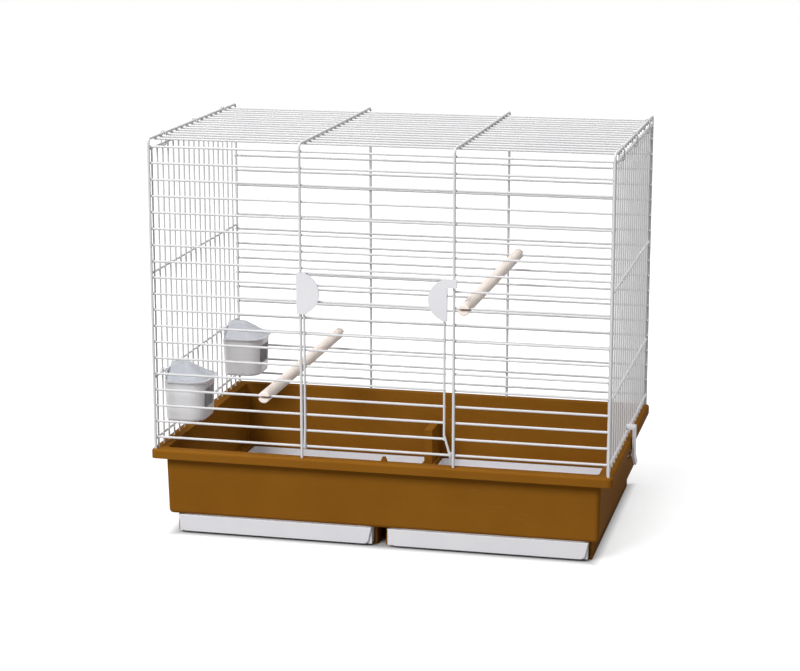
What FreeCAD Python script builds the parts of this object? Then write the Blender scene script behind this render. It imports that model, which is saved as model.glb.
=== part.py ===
import FreeCAD, Part
import math
import os
import Sketcher

# Parrot cage: a welded wire cage on a moulded base with two drawers, two feeders and two perches.
# Millimetres, +Z up. The origin is on the ground under the middle of the cage, +X to the right of
# someone who faces the door and +Y to the back.

SIZES = (
    ("rim_width", 500.0, "base rim, left to right"),
    ("rim_depth", 316.0, "base rim, front to back"),
    ("rim_top", 96.5, "top of the rim above the ground"),
    ("rim_corner", 6.0, "corner radius of the rim in plan"),
    ("rim_edge", 2.5, "rounding of the rim's top edge"),
    ("lip_height", 10.0, "rim lip, top to bottom"),
    ("lip_thickness", 2.5, "rim lip, across"),
    ("flange_thickness", 2.5, "flat of the rim that carries the wires"),
    ("side_overhang", 13.0, "rim past the side walls"),
    ("front_overhang", 10.0, "rim past the front and back walls"),
    ("wall_thickness", 2.5, "walls of the base"),
    ("wall_draft", 2.0, "how far each wall leans in from rim to foot"),
    ("wall_corner", 4.0, "corner radius of the walls at their foot"),
    ("tub_bottom", 22.0, "underside of the walls above the ground"),
    ("tub_edge", 4.5, "rounding of the walls' lower edge"),
    ("front_ledge", 9.0, "inner ledge under the front wall"),
    ("skirt_inset", 7.5, "side skirts behind the walls' foot"),
    ("back_skirt_inset", 3.0, "back skirt behind the back wall's foot"),
    ("skirt_thickness", 2.5, "skirts that stand on the ground"),
    ("skirt_setback", 12.0, "front end of the side skirts behind the front wall"),
    ("rail_width", 15.0, "rail between the drawers"),
    ("rail_setback", 13.0, "front end of the rail behind the front wall"),
    ("runner_width", 6.0, "runners under the drawers' edges"),
    ("runner_height", 2.5, "runners above the ground"),
    ("peg_width", 8.0, "peg on the front rim"),
    ("peg_depth", 3.0, "peg on the front rim, front to back"),
    ("peg_tip", 3.0, "peg's tip, left to right"),
    ("peg_height", 5.0, "peg above the rim"),
    ("peg_place", 6.0, "peg to the right of the middle"),
    ("rib_width", 9.4, "fin over the rail at the back wall"),
    ("rib_depth", 48.0, "fin, in from the back wall's foot"),
    ("rib_height", 41.0, "fin above the inner ledge"),
    ("post_inset", 4.5, "end posts' centres in from the rim's edge"),
    ("row_inset", 7.0, "front and back rows' centres in from the rim's edge"),
    ("roof_height", 432.0, "roof cross wires' centres above the ground"),
    ("bend_radius", 4.0, "posts' bend into the roof"),
    ("post_spacing", 164.0, "between the two middle posts' centres"),
    ("post_wire", 3.0, "posts and roof cross wires, diameter"),
    ("row_wire", 2.6, "horizontal wires, diameter"),
    ("side_wire", 2.0, "upright wires of the sides, diameter"),
    ("bar_wire", 2.5, "horizontal bars of the sides, diameter"),
    ("weld_depth", 0.4, "how far crossing wires sink into each other at a weld"),
    ("row_overrun", 1.0, "rows past the end posts' centres"),
    ("row_count", 19, "rows on the front and back"),
    ("first_row", 12.5, "lowest row above the rim"),
    ("top_row_drop", 8.0, "highest row under the roof cross wires"),
    ("side_wire_count", 18, "upright wires on each side"),
    ("side_edge_gap", 2.55, "first upright wire behind the front rows"),
    ("low_bar", 11.0, "lowest side bar above the rim"),
    ("feeder_bar", 78.5, "side bar that carries the feeders, above the rim"),
    ("upper_bar", 192.5, "upper side bar above the rim"),
    ("top_bar_drop", 10.5, "highest side bar under the roof cross wires"),
    ("tie_wire", 1.6, "tie rings, wire diameter"),
    ("tie_gap", 0.4, "tie rings clear of the roof's edge wire"),
    ("tie_space", 2.5, "outer tie rings' place, in spaces between the upright wires"),
    ("seat_gap", 0.3, "clearance where pieces rest on or straddle each other"),
    ("door_left", 78.0, "door's left wire from the middle"),
    ("door_right", 72.3, "door's right wire from the middle"),
    ("door_wire", 2.5, "door's side wires, diameter"),
    ("door_row_count", 11, "door reaches up to this row"),
    ("door_top_drop", 5.0, "door's top wire under the row above it"),
    ("door_foot_rise", 22.0, "where the side wires start to lean out, above the hinge"),
    ("hinge_wall", 1.9, "wall of the hinge eyes"),
    ("hinge_length", 2.5, "hinge eyes, along the wire"),
    ("hinge_side_gap", 0.45, "hinge eyes clear of the posts"),
    ("catch_height", 44.0, "half-moon catches, top to bottom"),
    ("catch_bulge", 17.0, "half-moon catches, flat side to round side"),
    ("catch_plate", 2.0, "half-moon plate"),
    ("catch_skin", 2.4, "catch in front of the door wire"),
    ("catch_wall", 1.7, "catch beside the wires that it grips"),
    ("catch_grip", 0.05, "catch clear of the door wire that it is snapped on"),
    ("catch_arm", 9.0, "arm of the right catch, top to bottom"),
    ("catch_rise", 1.0, "catches above the door's top wire"),
    ("drawer_gap", 1.2, "drawers clear of the rail and the skirts"),
    ("drawer_wall", 1.8, "drawer walls and floor"),
    ("drawer_wall_top", 20.5, "drawer walls above the ground"),
    ("drawer_back_gap", 2.0, "drawers clear of the back skirt"),
    ("drawer_corner", 5.0, "corner radius inside the drawers"),
    ("front_plate", 2.5, "drawer front plates"),
    ("front_plate_edge", 0.8, "rounding of the front plates' edges"),
    ("front_plate_overlap", 1.0, "front plates past the drawers' outer sides"),
    ("front_plate_top_gap", 0.8, "front plates under the walls' foot"),
    ("front_plate_inset", 1.0, "front plates behind the walls' foot"),
    ("front_plate_lean", 4.0, "ends of the front plates, in at the bottom"),
    ("front_plate_corner", 6.0, "lower corners of the front plates"),
    ("clip_width", 14.0, "side clips, along the rim"),
    ("clip_thickness", 2.5, "side clips"),
    ("clip_rim_gap", 1.2, "clips clear of the rim"),
    ("clip_reach", 2.5, "clips' hooks past the bar's centre"),
    ("clip_tab", 11.0, "finger tab under the pivot"),
    ("clip_flare", 2.0, "finger tab's outward lean"),
    ("clip_web", 3.2, "web between the clip and its pivot"),
    ("pivot_drop", 6.0, "clip pivots under the rim lip"),
    ("pivot_inset", 3.5, "clip pivots in from the rim's edge"),
    ("knuckle", 6.4, "clip knuckles, diameter"),
    ("pivot_pin", 4.0, "clip pivot pins, diameter"),
    ("pivot_clearance", 0.05, "pivot pins clear of the ears all round"),
    ("ear_thickness", 3.0, "ears beside the clips"),
    ("ear_gap", 0.4, "ears clear of the clips"),
    ("ear_wall", 1.4, "ears around the pivot pins"),
    ("feeder_gap", 2.5, "feeder's middle, in spaces between the upright wires"),
    ("cup_length", 56.0, "feeder cups, front to back"),
    ("cup_reach", 45.0, "feeder cups, out from the side wires"),
    ("cup_drop", 53.5, "cups' underside below the bar"),
    ("cup_height", 44.0, "feeder cups, top to bottom"),
    ("cup_wall", 1.8, "feeder cups' walls"),
    ("cup_corner", 18.0, "upright corners of the cups, inside the cage"),
    ("cup_back_corner", 4.0, "upright corners of the cups, beside the wires"),
    ("cup_draft", 2.0, "how far the cups' walls lean in from rim to foot"),
    ("cup_edge", 4.0, "rounding of the cups' lower edge"),
    ("cup_inside_edge", 1.5, "rounding of the cups' floor inside"),
    ("window_length", 34.0, "feeding windows, front to back"),
    ("window_height", 22.0, "feeding windows, top to bottom"),
    ("window_drop", 8.0, "feeding windows under the cups' rim"),
    ("window_corner", 4.0, "corner radius of the feeding windows"),
    ("back_plate_length", 44.0, "plates behind the hoods"),
    ("hook_width", 5.0, "feeder hooks, front to back"),
    ("hook_thickness", 2.0, "feeder hooks"),
    ("hook_drop", 4.0, "feeder hooks down past the bar's centre"),
    ("hood_overhang", 2.5, "hoods past the cups"),
    ("hood_flange", 1.6, "hoods' flange"),
    ("hood_rise", 15.0, "hoods' dome above the flange"),
    ("hood_ridge_length", 14.0, "flat top of the hoods, front to back"),
    ("hood_ridge_reach", 18.0, "flat top of the hoods, out from the wires"),
    ("hood_ridge_corner", 4.0, "corner radius of the hoods' flat top"),
    ("hood_edge", 1.2, "rounding of the hoods' top"),
    ("hood_wall", 1.8, "hoods' walls"),
    ("hood_inset", 1.0, "hoods' dome in from the cups' sides"),
    ("perch_diameter", 12.5, "perches"),
    ("perch_edge", 1.2, "rounding of the perches' ends"),
    ("perch_overhang", 8.0, "perches past the wires"),
    ("perch_left_place", 122.0, "left perch from the middle"),
    ("perch_right_place", 93.0, "right perch from the middle"),
    ("perch_left_row", 3, "row that carries the left perch"),
    ("perch_right_row", 9, "row that carries the right perch"),
)

V = FreeCAD.Vector
ALONG_X = FreeCAD.Rotation(V(0, 0, 1), V(1, 0, 0))
ALONG_Y = FreeCAD.Rotation(V(0, 0, 1), V(0, 1, 0))
ALONG_Z = FreeCAD.Rotation()
LEFT = -1
RIGHT = 1
FRONT = -1
BACK = 1
OVERCUT = 1.0
ZERO = 1e-9

doc = FreeCAD.newDocument("parrot_cage")
sheet = doc.addObject("Spreadsheet::Sheet", "Sizes")
for line, (alias, value, meaning) in enumerate(SIZES, start=1):
    sheet.set(f"A{line}", meaning)
    sheet.set(f"B{line}", str(value))
    sheet.setAlias(f"B{line}", alias)
doc.recompute()


class Size:
    """A length: its formula on the sheet and the value that the formula has."""

    def __init__(self, formula, value):
        self.formula = formula
        self.value = value

    def __add__(self, other):
        other = as_size(other)
        return Size(f"({self.formula} + {other.formula})", self.value + other.value)

    def __sub__(self, other):
        other = as_size(other)
        return Size(f"({self.formula} - {other.formula})", self.value - other.value)

    def __mul__(self, other):
        other = as_size(other)
        return Size(f"({self.formula} * {other.formula})", self.value * other.value)

    def __truediv__(self, other):
        other = as_size(other)
        return Size(f"({self.formula} / {other.formula})", self.value / other.value)

    def __neg__(self):
        return Size(f"(-1 * {self.formula})", -self.value)

    __radd__ = __add__
    __rmul__ = __mul__


def as_size(item):
    """Returns a number as a size."""
    if isinstance(item, Size):
        return item
    return Size(f"({float(item)})", float(item))


def size(alias):
    """Returns a driving dimension of the sheet."""
    return Size(f"Sizes.{alias}", float(sheet.get(alias)))


def count(alias):
    """Returns a whole number of the sheet."""
    return int(round(float(sheet.get(alias))))


def lean_angle(run, rise):
    """Returns the angle of a wall that leans by run over rise."""
    return Size(f"atan({run.formula} / {rise.formula})", math.degrees(math.atan(run.value / rise.value)))


def slant_length(run, rise):
    """Returns the length of a slanted wire."""
    return Size(f"sqrt({run.formula}^2 + {rise.formula}^2)", math.hypot(run.value, rise.value))


def bind(item, name, length):
    """Ties a property to the sheet."""
    item.setExpression(name, as_size(length).formula)


# Places that several pieces share
rim_x = size("rim_width") / 2
rim_y = size("rim_depth") / 2
rim_top = size("rim_top")
lip_low = rim_top - size("lip_height")
wall_x = rim_x - size("side_overhang")
wall_y = rim_y - size("front_overhang")
tub_bottom = size("tub_bottom")
wall_rise = rim_top - tub_bottom
wall_lean = lean_angle(size("wall_draft"), wall_rise)
foot_x = wall_x - size("wall_draft")
foot_y = wall_y - size("wall_draft")
wall_thickness = size("wall_thickness")
ledge_top = tub_bottom + wall_thickness
skirt_x = foot_x - size("skirt_inset")
skirt_y = foot_y - size("back_skirt_inset")
skirt_inner_x = skirt_x - size("skirt_thickness")
skirt_inner_y = skirt_y - size("skirt_thickness")
skirt_front = size("skirt_setback") - foot_y
rail_x = size("rail_width") / 2
seat_gap = size("seat_gap")

post_x = rim_x - size("post_inset")
row_y = rim_y - size("row_inset")
middle_post_x = size("post_spacing") / 2
post_r = size("post_wire") / 2
row_r = size("row_wire") / 2
side_r = size("side_wire") / 2
bar_r = size("bar_wire") / 2
weld_depth = size("weld_depth")
roof_z = size("roof_height")
bend = size("bend_radius")
post_y = row_y + row_r + post_r - weld_depth
side_x = post_x - bar_r - side_r + weld_depth
row_end = post_x + size("row_overrun")
first_row_z = rim_top + size("first_row")
row_pitch = (roof_z - size("top_row_drop") - first_row_z) / (size("row_count") - 1)
side_pitch = (row_y - size("side_edge_gap")) * 2 / (size("side_wire_count") - 1)
first_side_y = size("side_edge_gap") - row_y
low_bar_z = rim_top + size("low_bar")
feeder_bar_z = rim_top + size("feeder_bar")
upper_bar_z = rim_top + size("upper_bar")
top_bar_z = roof_z - size("top_bar_drop")


def row_z(index):
    """Returns the height of a row of the front and back."""
    return first_row_z + row_pitch * index


def side_wire_y(place):
    """Returns the place of an upright side wire, or of a space where the place is a half."""
    return first_side_y + side_pitch * place


middle_space = (count("side_wire_count") - 1) // 2 + 0.5
clip_y = side_wire_y(middle_space)


# Ways of making shapes
cuts = []


def new_body(label):
    """Adds an empty body for one sub-part."""
    body = doc.addObject("PartDesign::Body", label)
    body.Label = label
    return body


def new_sketch(body, name, role, level):
    """Adds a sketch that is parallel to an origin plane of its body."""
    sketch = body.newObject("Sketcher::SketchObject", name)
    plane = next(item for item in body.Origin.OriginFeatures if item.Role == role)
    sketch.AttachmentSupport = [(plane, "")]
    sketch.MapMode = "FlatFace"
    if role == "XZ_Plane":
        level = -as_size(level)
    bind(sketch, "AttachmentOffset.Base.z", level)
    return sketch


def hold(sketch, geometry, end, x, y):
    """Ties an end of a line or an arc, or a circle's centre, to its place."""
    for kind, axis, place in (("DistanceX", -2, as_size(x)), ("DistanceY", -1, as_size(y))):
        if abs(place.value) < ZERO:
            sketch.addConstraint(Sketcher.Constraint("PointOnObject", geometry, end, axis))
            continue
        if place.value > 0:
            index = sketch.addConstraint(
                Sketcher.Constraint(kind, -1, 1, geometry, end, place.value))
        else:
            place = -place
            index = sketch.addConstraint(
                Sketcher.Constraint(kind, geometry, end, -1, 1, place.value))
        sketch.setExpression(f"Constraints[{index}]", place.formula)


def hold_radius(sketch, geometry, radius):
    """Ties the radius of a circle or an arc to the sheet."""
    radius = as_size(radius)
    index = sketch.addConstraint(Sketcher.Constraint("Radius", geometry, radius.value))
    sketch.setExpression(f"Constraints[{index}]", radius.formula)


def flat(x, y):
    """Returns a sketch point."""
    return V(as_size(x).value, as_size(y).value, 0)


def polygon(sketch, points):
    """Draws a closed outline of straight lines."""
    lines = []
    for here, there in zip(points, points[1:] + points[:1]):
        lines.append(sketch.addGeometry(Part.LineSegment(flat(*here), flat(*there))))
    for line, following in zip(lines, lines[1:] + lines[:1]):
        sketch.addConstraint(Sketcher.Constraint("Coincident", line, 2, following, 1))
    for line, (x, y) in zip(lines, points):
        hold(sketch, line, 1, x, y)


def rectangle(sketch, x_low, x_high, y_low, y_high):
    """Draws a rectangle with sharp corners."""
    polygon(sketch, [(x_low, y_low), (x_high, y_low), (x_high, y_high), (x_low, y_high)])


def round_rectangle(sketch, x_low, x_high, y_low, y_high, corner, low_corner=None):
    """Draws a rectangle with round corners, with a radius of their own at the low end where one is given."""
    low_corner = low_corner or corner
    sides = (
        ((x_low + low_corner, y_low), (x_high - corner, y_low)),
        ((x_high, y_low + corner), (x_high, y_high - corner)),
        ((x_high - corner, y_high), (x_low + low_corner, y_high)),
        ((x_low, y_high - low_corner), (x_low, y_low + low_corner)),
    )
    corners = (
        ((x_high - corner, y_low + corner), corner),
        ((x_high - corner, y_high - corner), corner),
        ((x_low + low_corner, y_high - low_corner), low_corner),
        ((x_low + low_corner, y_low + low_corner), low_corner),
    )
    lines = []
    for start, end in sides:
        line = sketch.addGeometry(Part.LineSegment(flat(*start), flat(*end)))
        hold(sketch, line, 1, *start)
        hold(sketch, line, 2, *end)
        lines.append(line)
    for turn, (line, following) in enumerate(zip(lines, lines[1:] + lines[:1])):
        centre, radius = corners[turn]
        ring = Part.Circle(flat(*centre), V(0, 0, 1), radius.value)
        start_angle = math.radians(90 * turn - 90)
        arc = sketch.addGeometry(Part.ArcOfCircle(ring, start_angle, start_angle + math.pi / 2))
        sketch.addConstraint(Sketcher.Constraint("Coincident", line, 2, arc, 1))
        sketch.addConstraint(Sketcher.Constraint("Coincident", arc, 2, following, 1))
        hold_radius(sketch, arc, radius)


def circle(sketch, x, y, radius):
    """Draws a circle."""
    ring = sketch.addGeometry(Part.Circle(flat(x, y), V(0, 0, 1), as_size(radius).value))
    hold(sketch, ring, 3, x, y)
    hold_radius(sketch, ring, radius)


def pad(body, sketch, length, reverse=False, lean=None):
    """Adds material from a sketch, leaning outwards where a lean is given."""
    feature = body.newObject("PartDesign::Pad", f"{sketch.Name}_pad")
    feature.Profile = sketch
    bind(feature, "Length", length)
    feature.Reversed = reverse
    if lean is not None:
        bind(feature, "TaperAngle", lean)
    return feature


def pocket(body, sketch, length, reverse=False, lean=None):
    """Takes material away from a sketch, leaning outwards where a lean is given."""
    feature = body.newObject("PartDesign::Pocket", f"{sketch.Name}_pocket")
    feature.Profile = sketch
    bind(feature, "Length", length)
    feature.Reversed = reverse
    if lean is not None:
        bind(feature, "TaperAngle", lean)
    cuts.append(feature)
    return feature


def loft(body, kind, lower, upper):
    """Adds or takes away a shape that runs straight from one sketch to another."""
    feature = body.newObject(kind, f"{lower.Name}_loft")
    feature.Profile = lower
    feature.Sections = [upper]
    feature.Ruled = True
    return feature


def round_edges(body, name, feature, radius, wanted):
    """Rounds the edges whose bounding box answers the test."""
    doc.recompute()
    names = []
    for index, edge in enumerate(feature.Shape.Edges, start=1):
        if wanted(edge.BoundBox):
            names.append(f"Edge{index}")
    rounding = body.newObject("PartDesign::Fillet", name)
    rounding.Base = (feature, names)
    bind(rounding, "Radius", radius)
    return rounding


def near(value, place, tolerance=0.05):
    """Tells whether a coordinate lies at a place."""
    return abs(value - as_size(place).value) < tolerance


def level_at(height):
    """Returns a test for edges that lie flat at a height."""
    return lambda box: near(box.ZMin, height) and near(box.ZMax, height)


def rod(name, radius, length, place, turn):
    """Adds a straight wire that starts at a place."""
    wire = doc.addObject("Part::Cylinder", name)
    bind(wire, "Radius", radius)
    bind(wire, "Height", length)
    wire.Placement = FreeCAD.Placement(V(), turn)
    for axis, coordinate in zip("xyz", place):
        bind(wire, f"Placement.Base.{axis}", coordinate)
    return wire


def elbow(name, radius, wire_radius, angle, place, turn):
    """Adds a bent piece of wire around a centre."""
    bent = doc.addObject("Part::Torus", name)
    bind(bent, "Radius1", radius)
    bind(bent, "Radius2", wire_radius)
    bent.Angle3 = angle
    bent.Placement = FreeCAD.Placement(V(), turn)
    for axis, coordinate in zip("xyz", place):
        bind(bent, f"Placement.Base.{axis}", coordinate)
    return bent


def welded(label, wires):
    """Joins wires into one welded sub-part."""
    joined = doc.addObject("Part::MultiFuse", label)
    joined.Shapes = wires
    joined.Refine = False
    joined.Label = label
    return joined


def mirrored(label, source):
    """Adds the right-hand twin of a left-hand sub-part."""
    twin = doc.addObject("Part::Mirroring", label)
    twin.Source = source
    twin.Normal = V(1, 0, 0)
    twin.Label = label
    return twin


# Base
def make_base():
    """Makes the brown moulding that carries the wire cage and the drawers."""
    body = new_body("base")

    rim = new_sketch(body, "rim", "XY_Plane", lip_low)
    round_rectangle(rim, -rim_x, rim_x, -rim_y, rim_y, size("rim_corner"))
    rim_pad = pad(body, rim, size("lip_height"))
    round_edges(body, "rim_edge_round", rim_pad, size("rim_edge"), level_at(rim_top))

    lip = size("lip_thickness")
    under = new_sketch(body, "under_rim", "XY_Plane", lip_low)
    round_rectangle(under, lip - rim_x, rim_x - lip, lip - rim_y, rim_y - lip, size("rim_corner") - lip)
    pocket(body, under, size("lip_height") - size("flange_thickness"), reverse=True)

    walls = new_sketch(body, "walls", "XY_Plane", tub_bottom)
    corner = size("wall_corner")
    round_rectangle(walls, -foot_x, foot_x, -foot_y, foot_y, corner)
    walls_pad = pad(body, walls, wall_rise - size("flange_thickness") / 2, lean=wall_lean)
    round_edges(body, "tub_edge_round", walls_pad, size("tub_edge"), level_at(tub_bottom))

    well_x = wall_x - wall_thickness
    well_y = wall_y - wall_thickness
    well = new_sketch(body, "well", "XY_Plane", rim_top)
    round_rectangle(well, -well_x, well_x, -well_y, well_y, corner)
    well_pocket = pocket(body, well, wall_rise - wall_thickness, lean=-wall_lean)
    round_edges(body, "well_edge_round", well_pocket, size("tub_edge") - wall_thickness,
                level_at(ledge_top))

    floor = new_sketch(body, "floor_gaps", "XY_Plane", ledge_top)
    rectangle(floor, -skirt_inner_x, -rail_x, size("front_ledge") - foot_y, skirt_inner_y)
    rectangle(floor, rail_x, skirt_inner_x, size("front_ledge") - foot_y, skirt_inner_y)
    pocket(body, floor, wall_thickness + OVERCUT)

    skirts = new_sketch(body, "skirts", "XY_Plane", 0)
    polygon(skirts, [
        (-skirt_x, skirt_front), (-skirt_inner_x, skirt_front), (-skirt_inner_x, skirt_inner_y),
        (skirt_inner_x, skirt_inner_y), (skirt_inner_x, skirt_front), (skirt_x, skirt_front),
        (skirt_x, skirt_y), (-skirt_x, skirt_y)])
    pad(body, skirts, tub_bottom + wall_thickness / 2)

    rail_front = size("rail_setback") - foot_y
    rail = new_sketch(body, "rail", "XY_Plane", 0)
    rectangle(rail, -rail_x, rail_x, rail_front, skirt_inner_y + size("skirt_thickness") / 2)
    pad(body, rail, tub_bottom + wall_thickness / 2)

    runner = size("runner_width")
    runners = new_sketch(body, "runners", "XY_Plane", 0)
    rectangle(runners, -skirt_x + size("skirt_thickness") / 2, runner - skirt_inner_x, skirt_front,
              skirt_inner_y + size("skirt_thickness") / 2)
    rectangle(runners, -rail_x - runner, rail_x + runner, skirt_front,
              skirt_inner_y + size("skirt_thickness") / 2)
    rectangle(runners, skirt_inner_x - runner, skirt_x - size("skirt_thickness") / 2, skirt_front,
              skirt_inner_y + size("skirt_thickness") / 2)
    pad(body, runners, size("runner_height"))

    hollow = new_sketch(body, "rail_hollow", "XY_Plane", 0)
    rectangle(hollow, wall_thickness - rail_x, rail_x - wall_thickness, rail_front - OVERCUT, skirt_inner_y)
    pocket(body, hollow, tub_bottom, reverse=True)

    rib = new_sketch(body, "rib", "XY_Plane", ledge_top - wall_thickness / 4)
    rectangle(rib, -size("rib_width") / 2, size("rib_width") / 2, foot_y - size("rib_depth"),
              foot_y - wall_thickness / 2)
    pad(body, rib, size("rib_height"))

    peg = new_sketch(body, "peg", "XZ_Plane", -wall_y)
    peg_x = size("peg_place")
    peg_low = rim_top - size("flange_thickness") / 2
    peg_top = rim_top + size("peg_height")
    polygon(peg, [
        (peg_x - size("peg_width") / 2, peg_low), (peg_x + size("peg_width") / 2, peg_low),
        (peg_x + size("peg_tip") / 2, peg_top), (peg_x - size("peg_tip") / 2, peg_top)])
    pad(body, peg, size("peg_depth"), reverse=True)

    make_ears(body)
    return body


def pivot(side):
    """Returns the place of a clip's pivot, across and up."""
    return side * (rim_x - size("pivot_inset")), lip_low - size("pivot_drop")


def wall_outside(height):
    """Returns how far out the side wall's face is at a height."""
    return foot_x + size("wall_draft") * (height - tub_bottom) / wall_rise


def make_ears(body):
    """Adds the pairs of ears that carry the side clips' pins."""
    ear_r = size("pivot_pin") / 2 + size("ear_wall")
    hole_r = size("pivot_pin") / 2 + size("pivot_clearance")
    inner = size("clip_width") / 2 + size("ear_gap")
    outer = inner + size("ear_thickness")
    ears = new_sketch(body, "ears", "XZ_Plane", clip_y - outer)
    gaps = new_sketch(body, "ear_gaps", "XZ_Plane", clip_y - inner)
    for side in (LEFT, RIGHT):
        pivot_x, pivot_z = pivot(side)
        root = side * (wall_outside(pivot_z) - wall_thickness / 2)
        gap_root = side * wall_outside(pivot_z + ear_r)
        tip = pivot_x + side * ear_r
        gap_tip = tip + side * OVERCUT
        rectangle(ears, root, tip, pivot_z - ear_r, pivot_z + ear_r)
        circle(ears, pivot_x, pivot_z, hole_r)
        rectangle(gaps, gap_root, gap_tip, pivot_z - ear_r - OVERCUT, pivot_z + ear_r + OVERCUT)
    pad(body, ears, outer * 2, reverse=True)
    pocket(body, gaps, inner * 2)


# Wire panels
def row_wires(name, side, index):
    """Returns one horizontal wire of the front or back, in two pieces beside the door."""
    beside_door = side == FRONT and 0 < index < count("door_row_count")
    place_y = side * row_y
    if not beside_door:
        return [rod(name, row_r, row_end * 2, (-row_end, place_y, row_z(index)), ALONG_X)]
    inner_end = middle_post_x - post_r / 2
    length = row_end - inner_end
    return [
        rod(f"{name}_left", row_r, length, (-row_end, place_y, row_z(index)), ALONG_X),
        rod(f"{name}_right", row_r, length, (inner_end, place_y, row_z(index)), ALONG_X),
    ]


def make_upright_panel(label, side):
    """Makes the front or back panel: rows welded to posts that bend over at the top."""
    wires = []
    straight = roof_z - bend - rim_top
    bend_turn = FreeCAD.Rotation(V(0, side, 0), V(0, 0, 1), V(side, 0, 0), "XYZ")
    for number, place_x in enumerate((-post_x, -middle_post_x, middle_post_x, post_x)):
        foot = (place_x, side * post_y, rim_top)
        wires.append(rod(f"{label}_post_{number}", post_r, straight, foot, ALONG_Z))
        centre = (place_x, side * (post_y - bend), roof_z - bend)
        wires.append(elbow(f"{label}_bend_{number}", bend, post_r, 90, centre, bend_turn))
    for index in range(count("row_count")):
        wires += row_wires(f"{label}_row_{index}", side, index)
    return welded(label, wires)


def make_roof():
    """Makes the roof: rows in line with the upright side wires, under four cross wires."""
    wires = []
    half = post_y - bend
    for number, place_x in enumerate((-post_x, -middle_post_x, middle_post_x, post_x)):
        wires.append(rod(f"roof_cross_{number}", post_r, half * 2, (place_x, -half, roof_z), ALONG_Y))
    height = roof_z - post_r - row_r + weld_depth
    for index in range(1, count("side_wire_count") - 1):
        start = (-row_end, side_wire_y(index), height)
        wires.append(rod(f"roof_row_{index}", row_r, row_end * 2, start, ALONG_X))
    return welded("roof_panel", wires)


def make_side_panel(label):
    """Makes the left side panel: upright wires that stand on the rim, with bars outside them."""
    wires = []
    height = top_bar_z + bar_r - rim_top
    for index in range(count("side_wire_count")):
        foot = (-side_x, side_wire_y(index), rim_top)
        wires.append(rod(f"{label}_wire_{index}", side_r, height, foot, ALONG_Z))
    half = row_y - row_r - seat_gap
    for number, bar_z in enumerate((low_bar_z, feeder_bar_z, upper_bar_z, top_bar_z)):
        wires.append(rod(f"{label}_bar_{number}", bar_r, half * 2, (-post_x, -half, bar_z), ALONG_Y))
    return welded(label, wires)


def make_ties(label):
    """Makes the rings that tie the roof's left edge wire to the side panel's top bar."""
    tie_r = size("tie_wire") / 2
    loop = post_r + size("tie_gap") + tie_r
    under = FreeCAD.Rotation(V(1, 0, 0), V(0, 0, -1), V(0, 1, 0), "XYZ")
    over = FreeCAD.Rotation(V(1, 0, 0), V(0, 0, 1), V(0, -1, 0), "XYZ")
    wires = []
    first_space = size("tie_space").value
    last_space = count("side_wire_count") - 1 - first_space
    for number, space in enumerate((first_space, middle_space, last_space)):
        place_y = side_wire_y(space)
        name = f"{label}_{number}"
        wires.append(elbow(f"{name}_under", loop, tie_r, 180, (-post_x, place_y, top_bar_z), under))
        wires.append(elbow(f"{name}_over", loop, tie_r, 180, (-post_x, place_y, roof_z), over))
        for leg, leg_x in enumerate((-post_x - loop, loop - post_x)):
            foot = (leg_x, place_y, top_bar_z)
            wires.append(rod(f"{name}_leg_{leg}", tie_r, roof_z - top_bar_z, foot, ALONG_Z))
    return welded(label, wires)


# Door
door_r = size("door_wire") / 2
door_y = -(row_y + row_r + seat_gap + door_r)
door_row_y = door_y + door_r + row_r - weld_depth
door_top_z = row_z(count("door_row_count")) - size("door_top_drop")


def door_side_x(side):
    """Returns the place of the door's left or right wire."""
    if side == LEFT:
        return -size("door_left")
    return size("door_right")


def make_door():
    """Makes the wire door with its hinge eyes around the lowest row."""
    wires = []
    left = door_side_x(LEFT)
    across = door_side_x(RIGHT) - left
    foot_z = first_row_z + size("door_foot_rise")
    for index in range(1, count("door_row_count")):
        wires.append(rod(f"door_row_{index}", row_r, across, (left, door_row_y, row_z(index)), ALONG_X))
    wires.append(rod("door_top_row", row_r, across, (left, door_row_y, door_top_z), ALONG_X))
    eye_length = size("hinge_length")
    for name, side in (("left", LEFT), ("right", RIGHT)):
        wire_x = door_side_x(side)
        bend_place = (wire_x, door_y, foot_z)
        wires.append(rod(f"door_side_{name}", door_r, door_top_z + row_r - foot_z, bend_place, ALONG_Z))
        eye_x = side * (middle_post_x - post_r - size("hinge_side_gap") - eye_length / 2)
        lean = wire_x - eye_x
        rise = size("door_foot_rise")
        direction = V(lean.value, 0, rise.value)
        turn = FreeCAD.Rotation(V(0, 0, 1), direction)
        eye_place = (eye_x, door_y, first_row_z)
        wires.append(rod(f"door_foot_{name}", door_r, slant_length(lean, rise), eye_place, turn))
        eye_low = eye_x - eye_length / 2
        wires.append(rod(f"door_eye_{name}", row_r + seat_gap + size("hinge_wall"), eye_length,
                         (eye_low, -row_y, first_row_z), ALONG_X))
    solid = welded("door_solid", wires)
    bores = []
    for name, side in (("left", LEFT), ("right", RIGHT)):
        eye_x = side * (middle_post_x - post_r - size("hinge_side_gap") - eye_length / 2)
        bores.append(rod(f"door_bore_{name}", row_r + seat_gap, eye_length + 2 * OVERCUT,
                         (eye_x - eye_length / 2 - OVERCUT, -row_y, first_row_z), ALONG_X))
    door = doc.addObject("Part::Cut", "door")
    door.Base = solid
    door.Tool = welded("door_bores", bores)
    door.Refine = False
    door.Label = "door"
    return door


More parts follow.
